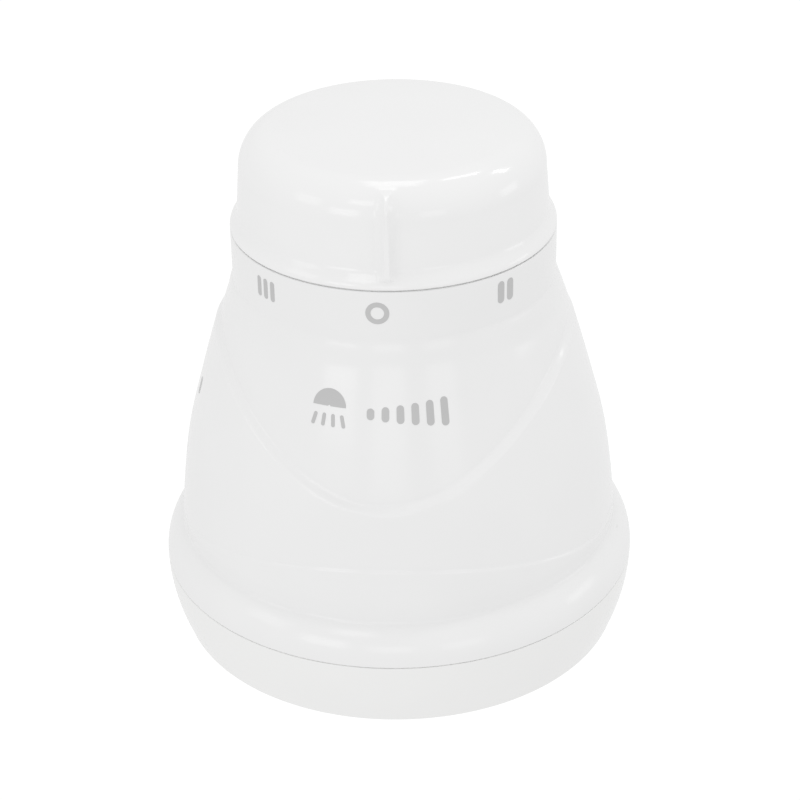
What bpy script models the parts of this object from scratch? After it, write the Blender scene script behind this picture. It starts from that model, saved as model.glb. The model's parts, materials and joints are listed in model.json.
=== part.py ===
"""Electric shower head with a three-position heat selector, modelled as its separate pieces.

Run with: blender --background --python part.py
Frame: the origin is the centre of the spray face, +Z points up to the selector knob, the front with
the pointer faces -Y and the inlet pipe leaves along +Y. All sizes below are in millimetres; the
helper functions turn them into metres.
"""

import math

import bmesh
import bpy
from mathutils import Matrix, Vector

MM = 0.001

# ---- driving dimensions (mm) ----
FLANGE_R = 67.6  # widest radius, at the seam between body and spray cover
FACE_R = 62.9  # spray face, at the bottom edge of the cover
SEAM_Z = 20.7  # seam between the spray cover and the body
NECK_R = 44.4  # band that carries the position marks
NECK_Z = 107.7  # where the bell meets the neck band
NECK_TOP_Z = 121.6
KNOB_Z = 122.4  # underside of the knob's lip
WALL = 2.6
GAP = 0.3  # between pieces that touch

# The bell's outline between the flange bead and the neck band: (radius, height)
BELL = [(62.4, 31.6), (61.4, 44), (59.0, 60), (54.8, 76), (50.6, 90), (47.3, 99), (NECK_R, NECK_Z)]
BEAD_R = 13.9  # rounding of the flange above the seam
BEAD_END = 51.0  # degrees of the bead's arc, where the bell rises from it
APRON_Z = 64.0  # lowest point of the recessed front apron
APRON_BEND = 0.0122  # rise of the apron's edge: APRON_Z + APRON_BEND * x * x
APRON_DEPTH = 1.4

KNOB_LIP_R = 44.4
KNOB_LIP_TOP_Z = 127.0
KNOB_SIDE_R = (42.3, 41.4)  # radius above the lip, and where the shoulder begins
SHOULDER_Z = 138.6
SHOULDER = (8.7, 9.75)  # the shoulder's radial and vertical rounding
CROWN = 2.05
POINTER_WIDTH = 5.4
KNOB_TRAVEL = 45.0  # degrees each way from the middle position
STOP_ANGLE = 18.5  # degrees from the end of the travel to the middle of a stop block

SPIGOT_R = (59.3, 61.5)
SPIGOT_Z = 12.0
TAB_COUNT = 4
TAB_ANGLE = 24.0
COLLAR_R = (48.6, 51.2)
SPRAY_RINGS = [(14.0, 7), (24.0, 12), (34.0, 16), (43.5, 20)]  # (radius, number of holes)
SPRAY_HOLE_R = 0.8
FACE_THICK = 2.4

CHAMBER_R = 40.0
CHAMBER_Z = (15.0, 64.4)
CHAMBER_FLANGE_R = 58.9
CHAMBER_SCREW_R = 55.6
DECK_OPENING_R = 15.0
TOWER_Y = 32.0
TOWER_R = 11.0
TOWER_TOP_Z = 100.0
POST_XY = 15.9  # the four posts under the switch base
POST_R = 2.8
POST_TOP_Z = 88.0
EAR_X = 21.5  # the two screws of the diaphragm clamp
PIN_RADIUS = 26.0
PIN_ANGLES = (-75.0, 255.0, 200.0)
EARTH_ANGLE = 20.0

SHAFT_R = 5.0
NECK_DECK_Z = (112.5, 115.0)
BASE_Z = (88.3, 92.0)
BRIDGE_TRAVEL = 3.0
CONTACT_X = 13.0
CONTACT_R = 2.4

PIPE_Z = 86.0
PIPE_R = 10.6
PIPE_BORE_R = 6.2
SOCKET_R = (10.5, 14.0)  # bore for a G1/2 thread, and the outside
SOCKET_Y = (100.0, 122.0)
PLUG_Y = 36.0
GLAND_Z = 62.0
GLAND_FACE_Y = 60.5
GLAND_BORE_R = 3.2
BLOCK_X = (-17.0, 17.0)
BLOCK_Y = (41.4, 52.9)
BLOCK_Z = (40.0, 52.0)
BLOCK_POLES = (-11.0, 0.0, 11.0)

STEPS_LARGE = 36
STEPS_SMALL = 16
STEPS_SCREW = 8


# ---- scene, materials and placing ----
def clear_scene():
    for obj in list(bpy.data.objects):
        bpy.data.objects.remove(obj, do_unlink=True)


def new_collection(name):
    made = bpy.data.collections.new(name)
    bpy.context.scene.collection.children.link(made)
    return made


def material(name, colour, roughness, metallic=0.0):
    made = bpy.data.materials.new(name)
    made.use_nodes = True
    shader = made.node_tree.nodes["Principled BSDF"]
    shader.inputs["Base Color"].default_value = (*colour, 1.0)
    shader.inputs["Roughness"].default_value = roughness
    shader.inputs["Metallic"].default_value = metallic
    made.diffuse_color = (*colour, 1.0)
    return made


clear_scene()
PARTS = new_collection("electric_shower_head")
HELPERS = new_collection("cutters_and_joints")

WHITE = material("white_gloss_plastic", (0.86, 0.86, 0.86), 0.22)
COVER_WHITE = material("cover_gloss_plastic", (0.87, 0.87, 0.86), 0.25)
KNOB_WHITE = material("knob_gloss_plastic", (0.88, 0.88, 0.88), 0.2)
NATURAL = material("natural_nylon", (0.78, 0.76, 0.70), 0.45)
BLACK = material("black_phenolic", (0.05, 0.045, 0.04), 0.5)
RUBBER = material("black_rubber", (0.03, 0.03, 0.03), 0.7)
RED_RUBBER = material("silicone_rubber", (0.62, 0.16, 0.10), 0.6)
BRASS = material("brass", (0.78, 0.57, 0.24), 0.3, 1.0)
SILVER = material("silver_contact", (0.80, 0.79, 0.76), 0.3, 1.0)
STEEL = material("zinc_plated_steel", (0.62, 0.62, 0.60), 0.35, 1.0)
NICHROME = material("resistance_wire", (0.42, 0.40, 0.38), 0.4, 1.0)
CERAMIC = material("grey_polyester", (0.55, 0.56, 0.56), 0.5)
PIPE_WHITE = material("pipe_gloss_plastic", (0.84, 0.84, 0.84), 0.25)
LEAD = material("lead_insulation", (0.12, 0.25, 0.55), 0.5)


def empty(name, at):
    """A parent on a joint's axis; at is in mm."""
    made = bpy.data.objects.new(name, None)
    made.location = Vector(at) * MM
    made.empty_display_size = 0.01
    PARTS.objects.link(made)
    return made


HOUSING = empty("housing_frame", (0, 0, 0))
SELECTOR = empty("knob_turn_axis", (0, 0, NECK_TOP_Z))
BRIDGE = empty("flow_switch_guide", (0, 0, BASE_Z[0]))
COVER = empty("cover_turn_axis", (0, 0, 0))


def place(name, mesh, surface, parent, at=(0, 0, 0), turn=(0, 0, 0)):
    """Puts a mesh in the scene as a piece; at is its world place in mm, turn its Euler angles."""
    made = bpy.data.objects.new(name, mesh)
    PARTS.objects.link(made)
    made.data.materials.append(surface)
    made.parent = parent
    made.location = Vector(at) * MM - parent.location
    made.rotation_euler = turn
    return made


def helper(name, mesh, at=(0, 0, 0), turn=(0, 0, 0)):
    """A solid that only cuts or joins another."""
    made = bpy.data.objects.new(name, mesh)
    HELPERS.objects.link(made)
    made.location = Vector(at) * MM
    made.rotation_euler = turn
    made.hide_render = True
    made.display_type = "WIRE"
    return made


def boolean(target, tool, operation):
    made = target.modifiers.new(tool.name, "BOOLEAN")
    made.operation = operation
    made.solver = "EXACT"
    made.object = tool


def cut(target, tool):
    boolean(target, tool, "DIFFERENCE")


def join(target, tool):
    boolean(target, tool, "UNION")


# ---- shapes ----
def smooth(mesh):
    mesh.shade_smooth()
    mesh.set_sharp_from_angle(angle=math.radians(35))


def profile_mesh(name, outline, closed):
    """The edges of a profile to be turned: outline is (radius, height) in mm."""
    bm = bmesh.new()
    points = [bm.verts.new((r * MM, 0, z * MM)) for r, z in outline]
    for a, b in zip(points, points[1:]):
        bm.edges.new((a, b))
    if closed:
        bm.edges.new((points[-1], points[0]))
    mesh = bpy.data.meshes.new(name)
    bm.to_mesh(mesh)
    bm.free()
    return mesh


def turn_profile(obj, steps):
    screw = obj.modifiers.new("turned", "SCREW")
    screw.steps = screw.render_steps = steps
    screw.use_merge_vertices = True
    screw.merge_threshold = 0.000001
    screw.use_smooth_shade = True
    return obj


def turned(name, outline, surface, parent, steps=STEPS_LARGE, at=(0, 0, 0), turn=(0, 0, 0)):
    """A turned piece. An outline that starts and ends on the axis is solid, any other is a ring."""
    closed = outline[0][0] > 0
    obj = place(name, profile_mesh(name, outline, closed), surface, parent, at, turn)
    return turn_profile(obj, steps)


def turned_helper(name, outline, steps=STEPS_LARGE, at=(0, 0, 0), turn=(0, 0, 0)):
    obj = helper(name, profile_mesh(name, outline, outline[0][0] > 0), at, turn)
    return turn_profile(obj, steps)


def rod(radius, low, high):
    """Outline of a plain rod or disc between two heights."""
    return [(0, high), (radius, high), (radius, low), (0, low)]


def ring(inner, outer, low, high):
    return [(inner, high), (outer, high), (outer, low), (inner, low)]


def cylinders(name, places, radius, low, high, sides=STEPS_SCREW):
    """Several upright cylinders in one mesh; places are (x, y) in mm."""
    bm = bmesh.new()
    for x, y in places:
        middle = Matrix.Translation(Vector((x, y, (low + high) / 2)) * MM)
        bmesh.ops.create_cone(
            bm,
            cap_ends=True,
            segments=sides,
            radius1=radius * MM,
            radius2=radius * MM,
            depth=(high - low) * MM,
            matrix=middle,
        )
    mesh = bpy.data.meshes.new(name)
    bm.to_mesh(mesh)
    bm.free()
    smooth(mesh)
    return mesh


def boxes(name, items):
    """Several boxes in one mesh; an item is (centre, size, degrees about Z), in mm."""
    bm = bmesh.new()
    for centre, size, angle in items:
        moved = Matrix.Translation(Vector(centre) * MM)
        turned_by = Matrix.Rotation(math.radians(angle), 4, "Z")
        stretched = Matrix.Diagonal((*(Vector(size) * MM), 1.0))
        bmesh.ops.create_cube(bm, size=1.0, matrix=moved @ turned_by @ stretched)
    mesh = bpy.data.meshes.new(name)
    bm.to_mesh(mesh)
    bm.free()
    return mesh


def extruded(name, outline, low, high, along):
    """An outline pushed along one axis: (x, y) along Z, (y, z) along X or (x, z) along Y, in mm."""
    bm = bmesh.new()
    corners = {
        "Z": [(a, b, low) for a, b in outline],
        "X": [(low, a, b) for a, b in outline],
        "Y": [(a, low, b) for a, b in outline],
    }[along]
    face = bm.faces.new([bm.verts.new(Vector(corner) * MM) for corner in corners])
    pushed = bmesh.ops.extrude_face_region(bm, geom=[face], use_keep_orig=True)["geom"]
    step = {"Z": (0, 0, 1), "X": (1, 0, 0), "Y": (0, 1, 0)}[along]
    moved = [item for item in pushed if isinstance(item, bmesh.types.BMVert)]
    bmesh.ops.translate(bm, verts=moved, vec=Vector(step) * (high - low) * MM)
    bmesh.ops.recalc_face_normals(bm, faces=bm.faces)
    mesh = bpy.data.meshes.new(name)
    bm.to_mesh(mesh)
    bm.free()
    return mesh


def arc(cx, cz, radius, start, end, count):
    """Points on an arc, angles in degrees from the +radius direction."""
    angles = [math.radians(start + (end - start) * i / (count - 1)) for i in range(count)]
    return [(cx + radius * math.cos(a), cz + radius * math.sin(a)) for a in angles]


def sector(inner, outer, middle, span, count=5):
    """Outline of a ring's sector in the XY plane."""
    out = arc(0, 0, outer, middle - span / 2, middle + span / 2, count)
    back = arc(0, 0, inner, middle + span / 2, middle - span / 2, count)
    return out + back


def polar(radius, degrees):
    return radius * math.cos(math.radians(degrees)), radius * math.sin(math.radians(degrees))


def through(points, per_span):
    """A smooth curve (Catmull-Rom) through the given points."""
    ends = [2 * Vector(points[0]) - Vector(points[1]), 2 * Vector(points[-1]) - Vector(points[-2])]
    full = [ends[0]] + [Vector(p) for p in points] + [ends[1]]
    out = []
    for a, b, c, d in zip(full, full[1:], full[2:], full[3:]):
        for i in range(per_span):
            t = i / per_span
            square = 2 * a - 5 * b + 4 * c - d
            cube = 3 * b - a - 3 * c + d
            out.append(0.5 * (2 * b + (c - a) * t + square * t * t + cube * t**3))
    return [tuple(p) for p in out] + [tuple(points[-1])]


def wire(name, route, radius, surface, parent):
    """A round wire along the route's points (mm)."""
    curve = bpy.data.curves.new(name, "CURVE")
    curve.dimensions = "3D"
    curve.bevel_depth = radius * MM
    curve.bevel_resolution = 2
    curve.use_fill_caps = True
    line = curve.splines.new("POLY")
    line.points.add(len(route) - 1)
    for point, spot in zip(line.points, route):
        point.co = (*(Vector(spot) * MM - parent.location), 1.0)
    made = bpy.data.objects.new(name, curve)
    made.data.materials.append(surface)
    made.parent = parent
    PARTS.objects.link(made)
    return made


def screw_outline(head_r, head_low, head_high, shank_r, shank_end):
    """A pan-head screw with a short point; shank_end is above or below the head."""
    point = 0.6
    if shank_end > head_high:
        shank = [(0, shank_end), (shank_r, shank_end - point), (shank_r, head_high)]
        return shank + [(head_r, head_high), (head_r, head_low), (0, head_low)]
    head = [(0, head_high), (head_r, head_high), (head_r, head_low)]
    return head + [(shank_r, head_low), (shank_r, shank_end + point), (0, shank_end)]


ALONG_Y = (math.radians(-90), 0, 0)  # turns a piece's own +Z to +Y
ALONG_Y_OFFSET = (math.radians(-90), math.radians(5), 0)  # the same, its facets turned from its neighbour's


# ---- outer pieces ----
def bell_points(inset=0.0, per_span=2):
    return [(r - inset, z) for r, z in through(BELL, per_span)]


def body_outline():
    """The housing's section: outside from the neck down to the seam, then the inside up to the neck deck."""
    bead = arc(FLANGE_R - BEAD_R, SEAM_Z + 0.2, BEAD_R, BEAD_END, 0, 6)
    outside = [(NECK_R - 0.5, NECK_TOP_Z), (NECK_R, NECK_TOP_Z - 0.5)] + bell_points()[::-1] + bead
    groove = [(FLANGE_R - 2.4, SEAM_Z + 0.2), (63.4, 27.5), (SPIGOT_R[1], 27.5)]
    spigot = [(SPIGOT_R[1], SPIGOT_Z), (SPIGOT_R[0], SPIGOT_Z), (SPIGOT_R[0], 36.0)]
    inside = bell_points(WALL, 1)[1:-1]
    bore = SHAFT_R + 0.35
    low, high = NECK_DECK_Z
    deck = [
        (NECK_R - WALL, NECK_Z),
        (NECK_R - WALL, low),
        (bore, low),
        (bore, 117.5),
        (7.8, 117.5),
        (7.8, 121.0),
        (10.0, 121.0),
        (10.0, high),
        (NECK_R - WALL, high),
        (NECK_R - WALL, NECK_TOP_Z),
    ]
    return outside + groove + spigot + inside + deck


def apron_cutter():
    """The thin front slice that the body loses: inside the apron's curved edge, outside its own surface."""
    half_width = 56.0
    top = NECK_Z - 0.2
    count = 21
    xs = [half_width * (2 * i / (count - 1) - 1) for i in range(count)]
    edge = [(x, APRON_Z + APRON_BEND * x * x) for x in xs if APRON_Z + APRON_BEND * x * x < top - 1.0]
    outline = [(edge[0][0] - 2.0, top)] + edge + [(edge[-1][0] + 2.0, top)]
    cutter = helper("apron_slice", extruded("apron_slice", outline, -80.0, -6.0, "Y"))
    fade_z = 96.0  # above it the recess runs out towards the neck
    taper = []
    for r, z in bell_points():
        share = max(0.0, (z - fade_z) / (NECK_Z - fade_z))
        taper.append((r + share * (APRON_DEPTH - 0.3), z))
    above = NECK_Z + 10.0
    surface = [(0, above), (taper[-1][0], above)] + taper[::-1] + [(0, BELL[0][1])]
    cut(cutter, turned_helper("apron_surface", surface, STEPS_LARGE, at=(0, APRON_DEPTH, 0)))
    return cutter


def body_shell():
    shell = turned("body_shell", body_outline(), WHITE, HOUSING)
    cut(shell, apron_cutter())
    lug_angles = [45 + 90 * i for i in range(TAB_COUNT)]
    for i, angle in enumerate(lug_angles):
        lug = extruded("lug", sector(SPIGOT_R[1] - 0.8, 63.6, angle, TAB_ANGLE), 13.0, 15.4, "Z")
        join(shell, helper(f"bayonet_lug_{i + 1}", lug))
    screw_places = [polar(CHAMBER_SCREW_R, angle) for angle in lug_angles]
    join(shell, helper("screw_bosses", cylinders("bosses", screw_places, 4.4, CHAMBER_Z[0] + 2.7, 40.0, 14)))
    cut(shell, helper("screw_holes", cylinders("holes", screw_places, 1.75, 10.0, 32.0)))
    stops = []
    for side in (-1, 1):
        angle = 270 + side * (KNOB_TRAVEL + STOP_ANGLE)
        x, y = polar(21.0, angle)
        stops.append(((x, y, 108.0), (4.0, 6.0, 10.0), angle))
    join(shell, helper("knob_stops", boxes("stops", stops)))
    join(shell, turned_helper("pipe_boss", rod(15.5, 47.0, 58.8), 32, (0, 0, PIPE_Z), ALONG_Y))
    join(shell, turned_helper("gland_pad", rod(10.5, 54.0, GLAND_FACE_Y), 24, (0, 0, GLAND_Z), ALONG_Y))
    cut(shell, turned_helper("gland_hole", rod(6.0, 45.0, 70.0), STEPS_SMALL, (0, 0, GLAND_Z), ALONG_Y))
    cut(shell, turned_helper("pipe_hole", rod(PIPE_R + 0.4, 40.0, 70.0), 28, (0, 0, PIPE_Z), ALONG_Y))


def cover_radius(z):
    return FLANGE_R - (FLANGE_R - FACE_R - 0.1) * (1 - z / SEAM_Z) ** 2


def spray_cover():
    top = SEAM_Z - 0.1
    heights = [top - (top - 1.0) * i / 5 for i in range(6)]
    outside = [(cover_radius(z), z) for z in heights] + [(FACE_R - 0.4, 0.0), (0, 0.0)]
    inside = [
        (0, FACE_THICK),
        (COLLAR_R[0], FACE_THICK),
        (COLLAR_R[0], 12.3),
        (COLLAR_R[1], 12.3),
        (COLLAR_R[1], FACE_THICK),
        (58.0, FACE_THICK),
        (61.4, 4.0),
        (cover_radius(9.0) - WALL, 9.0),
        (cover_radius(15.0) - WALL, 15.0),
        (cover_radius(top) - WALL, top),
    ]
    cover = turned("spray_cover", inside + outside, COVER_WHITE, COVER)
    for i in range(TAB_COUNT):
        tab = extruded("tab", sector(62.1, cover_radius(17.0) - 1.2, 45 + 90 * i, TAB_ANGLE), 15.8, 18.2, "Z")
        join(cover, helper(f"bayonet_tab_{i + 1}", tab))
    places = []
    for radius, count in SPRAY_RINGS:
        places += [polar(radius, 360 * (i + 0.5) / count) for i in range(count)]
    cut(cover, helper("spray_holes", cylinders("holes", places, SPRAY_HOLE_R, -1.0, FACE_THICK + 1.0, 6)))


def knob_outline():
    lip = []
    for i in range(5):
        t = i / 4
        fall = (KNOB_LIP_R - KNOB_SIDE_R[0]) * t * t * (3 - 2 * t)
        lip.append((KNOB_LIP_R - fall, KNOB_Z + 0.5 + (KNOB_LIP_TOP_Z - KNOB_Z - 0.5) * t))
    shoulder = []
    for i in range(7):
        a = math.radians(90 * i / 6)
        radius = KNOB_SIDE_R[1] - SHOULDER[0] + SHOULDER[0] * math.cos(a)
        shoulder.append((radius, SHOULDER_Z + SHOULDER[1] * math.sin(a) + crown_height(radius)))
    top = [(radius, SHOULDER_Z + SHOULDER[1] + crown_height(radius)) for radius in (20.0, 0.0)]
    outside = (lip + shoulder + top)[::-1]
    hub_r = SHAFT_R + 0.3
    inner_side = KNOB_SIDE_R[1] - 2.4
    inside = [
        (KNOB_LIP_R - 0.5, KNOB_Z),
        (41.2, KNOB_Z),
        (41.2, 117.0),
        (39.2, 117.0),
        (39.2, 124.0),
        (inner_side, SHOULDER_Z),
        (inner_side - 2.0, SHOULDER_Z + 5.0),
        (inner_side - 6.5, SHOULDER_Z + SHOULDER[1] - 2.0),
        (7.6, SHOULDER_Z + SHOULDER[1] - 1.0),
        (7.6, KNOB_Z + 0.8),
        (hub_r, KNOB_Z + 0.8),
        (hub_r, 146.0),
        (0, 146.0),
    ]
    return outside + inside


def crown_height(radius):
    return CROWN * (1 - (radius / KNOB_SIDE_R[1]) ** 2)


def control_knob():
    knob = turned("control_knob", knob_outline(), KNOB_WHITE, SELECTOR)
    half = POINTER_WIDTH / 2
    side = [(-40.2, 124.5), (-44.1, 124.5), (-43.8, 136.0), (-42.6, 143.0), (-39.2, 147.6), (-36.0, 147.6)]
    join(knob, helper("pointer_rib", extruded("pointer_rib", side, -half, half, "X")))


def outer_pieces():
    body_shell()
    spray_cover()
    control_knob()
    turned("cover_seal", ring(COLLAR_R[0] + 0.2, COLLAR_R[1] - 0.2, 12.6, 14.7), RUBBER, HOUSING)


# ---- water side ----
def heating_chamber():
    low, high = CHAMBER_Z
    wall_r = CHAMBER_R - 2.4
    section = [
        (DECK_OPENING_R, high),
        (CHAMBER_R - 1.5, high),
        (CHAMBER_R, high - 1.5),
        (CHAMBER_R, low + 2.4),
        (CHAMBER_FLANGE_R, low + 2.4),
        (CHAMBER_FLANGE_R, low),
        (wall_r, low),
        (wall_r, high - 2.6),
        (DECK_OPENING_R, high - 2.6),
    ]
    chamber = turned("heating_chamber", section, CERAMIC, HOUSING)
    tower_at = (0, TOWER_Y, 0)
    join(chamber, turned_helper("inlet_tower", rod(TOWER_R, high - 1.5, TOWER_TOP_Z), 20, tower_at))
    join(chamber, turned_helper("pipe_socket", rod(13.0, TOWER_Y, 43.0), 24, (0, 0, PIPE_Z), ALONG_Y))
    posts = [(x, y) for x in (-POST_XY, POST_XY) for y in (-POST_XY, POST_XY)]
    join(chamber, helper("switch_posts", cylinders("posts", posts, POST_R, high - 1.5, POST_TOP_Z)))
    ears = [(-EAR_X, 0), (EAR_X, 0)]
    join(chamber, helper("clamp_bosses", cylinders("bosses", ears, 3.2, 54.0, high - 1.5)))
    tower_bore = rod(8.4, high - 10.0, TOWER_TOP_Z - 2.6)
    cut(chamber, turned_helper("tower_bore", tower_bore, STEPS_SMALL, tower_at))
    socket_bore = rod(10.0, TOWER_Y + 1.0, 46.0)
    cut(chamber, turned_helper("socket_bore", socket_bore, 22, (0, 0, PIPE_Z), ALONG_Y_OFFSET))
    cut(chamber, helper("post_holes", cylinders("holes", posts, 1.5, 77.5, 95.0)))
    cut(chamber, helper("clamp_holes", cylinders("holes", ears, 1.5, 57.0, 70.0)))
    pins = [polar(PIN_RADIUS, angle) for angle in (*PIN_ANGLES, EARTH_ANGLE)]
    cut(chamber, helper("pin_holes", cylinders("holes", pins, 2.3, 58.0, 70.0)))
    flange = [polar(CHAMBER_SCREW_R, 45 + 90 * i) for i in range(4)]
    cut(chamber, helper("flange_holes", cylinders("holes", flange, 2.0, 10.0, 20.0)))


def chamber_fasteners():
    for i in range(4):
        x, y = polar(CHAMBER_SCREW_R, 45 + 90 * i)
        outline = screw_outline(3.1, 12.4, CHAMBER_Z[0] - GAP, 1.45, 30.0)
        turned(f"chamber_screw_{i + 1}", outline, STEEL, HOUSING, STEPS_SCREW, (x, y, 0))
    for i, x in enumerate((-EAR_X, EAR_X)):
        outline = screw_outline(2.5, 69.8, 71.6, 1.2, 58.0)
        turned(f"clamp_screw_{i + 1}", outline, STEEL, HOUSING, STEPS_SCREW, (x, 0, 0))


def element_carrier():
    """The frame inside the chamber that the coil lies on: post, six arms and an outer ring."""
    post = [(0, 58), (6, 58), (6, 11), (1.8, 11), (1.8, 24), (0, 24)]
    carrier = turned("element_carrier", post, NATURAL, HOUSING, STEPS_SMALL)
    rim = CHAMBER_R - 2.4 - 0.6
    join(carrier, turned_helper("carrier_ring", ring(rim - 2.6, rim, 18.6, 21.6), 36))
    arms = []
    for i in range(6):
        x, y = polar((rim + 4) / 2, 60 * i + 30)
        arms.append(((x, y, 20.1), (rim - 6.5, 4.0, 2.6), 60 * i + 30))
    for i, arm in enumerate(arms):
        join(carrier, helper(f"carrier_arm_{i + 1}", boxes("arm", [arm])))


def heating_coil():
    """Resistance wire wound as a spiral bent into an open ring, its two ends rising to the pins."""
    minor, level, turns, per_turn = 5.5, 28.4, 11, 8
    start, end = PIN_ANGLES[0], PIN_ANGLES[1]
    route = []
    for i in range(turns * per_turn + 1):
        t = i / (turns * per_turn)
        around = math.radians(90 + 360 * turns * t)
        x, y = polar(PIN_RADIUS + minor * math.cos(around), start + (end - start) * t)
        route.append((x, y, level + minor * math.sin(around)))
    first, last = polar(PIN_RADIUS, start), polar(PIN_RADIUS, end)
    route = [(*first, 37.6)] + route + [(*last, 37.6)]
    wire("heating_coil", route, 0.6, NICHROME, HOUSING)


def terminals():
    for i, angle in enumerate(PIN_ANGLES):
        x, y = polar(PIN_RADIUS, angle)
        turned(f"terminal_pin_{i + 1}", rod(2.0, 38.0, 72.0), BRASS, HOUSING, STEPS_SCREW, (x, y, 0))
        nut = turned(f"pin_nut_{i + 1}", ring(2.3, 3.7, 64.7, 67.2), BRASS, HOUSING, 6, (x, y, 0))
        nut.rotation_euler = (0, 0, math.radians(angle))
    x, y = polar(PIN_RADIUS, EARTH_ANGLE)
    outline = [(0, 70), (2, 70), (2, 67.2), (3.6, 67.2), (3.6, 64.7), (2, 64.7), (2, 42), (0, 41)]
    turned("earth_electrode", outline, BRASS, HOUSING, STEPS_SCREW, (x, y, 0))


def flow_parts():
    disc = turned("flow_diffuser", ring(2.2, 46.0, 9.0, 10.7), NATURAL, HOUSING, 36)
    places = [polar(14.0, 72 * i) for i in range(5)]
    places += [polar(27.0, 45 * i) for i in range(8)]
    places += [polar(39.0, 30 * i) for i in range(12)]
    cut(disc, helper("diffuser_holes", cylinders("holes", places, 2.0, 5.0, 15.0, 6)))
    turned("diffuser_screw", screw_outline(4.2, 6.6, 8.7, 1.5, 22.0), STEEL, HOUSING, STEPS_SCREW)
    low = CHAMBER_Z[1] + GAP
    high, dip = low + 1.5, low + 0.9
    wavy = [(0, high), (10.5, high), (12.0, dip), (14.0, dip), (15.4, high), (18.6, high)]
    turned("diaphragm", wavy + [(18.6, low), (0, low)], RED_RUBBER, HOUSING, 28)
    clamp = turned("diaphragm_clamp", ring(15.4, 19.2, 66.5, 69.5), NATURAL, HOUSING, 28)
    for side in (-1, 1):
        ear = boxes("ear", [((side * 20.4, 0, 68.0), (6.4, 6.0, 3.0), 0)])
        join(clamp, helper(f"clamp_ear_{side + 2}", ear))
    cut(clamp, helper("ear_holes", cylinders("holes", [(-EAR_X, 0), (EAR_X, 0)], 1.5, 60.0, 75.0)))


def inlet():
    """The pipe and what sits in it, built upright and laid along +Y."""
    low, high = SOCKET_Y
    outline = [
        (SOCKET_R[1] - 0.6, high),
        (SOCKET_R[1], high - 0.6),
        (SOCKET_R[1], low - 1.0),
        (PIPE_R, low - 6.0),
        (PIPE_R, 46.6),
        (8.8, 46.6),
        (8.8, 44.6),
        (PIPE_R, 44.6),
        (PIPE_R, 43.4),
        (9.4, 43.4),
        (9.4, 41.2),
        (7.6, 41.2),
        (7.6, 38.6),
        (9.4, 38.6),
        (9.4, PLUG_Y),
        (PIPE_BORE_R, PLUG_Y),
        (PIPE_BORE_R, low),
        (SOCKET_R[0], low),
        (SOCKET_R[0], high),
    ]
    at = (0, 0, PIPE_Z)
    turned("inlet_pipe", outline, PIPE_WHITE, HOUSING, 32, at, ALONG_Y)
    seal = arc(8.8, 39.9, 0.95, 360, 60, 6)
    turned("pipe_oring", seal, RUBBER, HOUSING, STEPS_SMALL, at, ALONG_Y)
    clip_outline = arc(0, 0, 12.0, -12, 192, 11) + arc(0, 0, 9.1, 192, -12, 11)
    clip = extruded("pipe_clip", clip_outline, 45.0, 46.2, "Z")
    place("pipe_clip", clip, STEEL, HOUSING, at, ALONG_Y)
    insert = ring(1.4, 5.9, 92.0, 95.0)
    turned("flow_restrictor", insert, NATURAL, HOUSING, STEPS_SMALL, at, ALONG_Y)
    disc = rod(6.6, low + GAP, low + 1.5)
    strainer = turned("inlet_strainer", disc, STEEL, HOUSING, STEPS_SMALL, at, ALONG_Y)
    places = [polar(4.3, 45 * i) for i in range(8)] + [polar(1.6, 120 * i) for i in range(3)]
    holes = cylinders("holes", places, 0.9, low - 5, low + 5, 6)
    cut(strainer, helper("strainer_holes", holes, at, ALONG_Y))
    washer = ring(6.9, 10.2, low + GAP, low + 2.5)
    turned("inlet_washer", washer, RUBBER, HOUSING, STEPS_SMALL, at, ALONG_Y)


# ---- electrical side ----
def flow_switch():
    stem = [(0, 92), (2.2, 92), (2.6, 91.4), (2.6, 79.9), (4, 79.9), (4, 68.5)]
    turned("pressure_disc", stem + [(10, 68.5), (10, 66.5), (0, 66.5)], NATURAL, BRIDGE, STEPS_SMALL)
    half = CONTACT_X + 3.6
    bar = boxes("contact_bridge", [((0, 0, 80.8), (2 * half, 8.4, 1.2), 0)])
    bridge = place("contact_bridge", bar, BRASS, BRIDGE, (0, 0, 0))
    cut(bridge, helper("bridge_hole", cylinders("hole", [(0, 0)], 2.9, 75.0, 85.0, 16)))
    for name, x in (("left", -CONTACT_X), ("right", CONTACT_X)):
        turned(f"moving_contact_{name}", rod(CONTACT_R, 81.7, 83.0), SILVER, BRIDGE, 14, (x, 0, 0))
        meets = 83.0 + GAP + BRIDGE_TRAVEL
        fixed = [(0, 93), (1.4, 93), (1.4, 88), (2.6, 88), (2.6, meets), (0, meets)]
        turned(f"fixed_contact_{name}", fixed, SILVER, HOUSING, 14, (x, 0, 0))
    turns, per_turn, low, high = 5, 8, 82.3, 95.6
    count = turns * per_turn
    rise = (high - low) / count
    route = [(*polar(5.0, 360 * i / per_turn), low + rise * i) for i in range(count + 1)]
    wire("bridge_spring", route, 0.45, STEEL, HOUSING)


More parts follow.
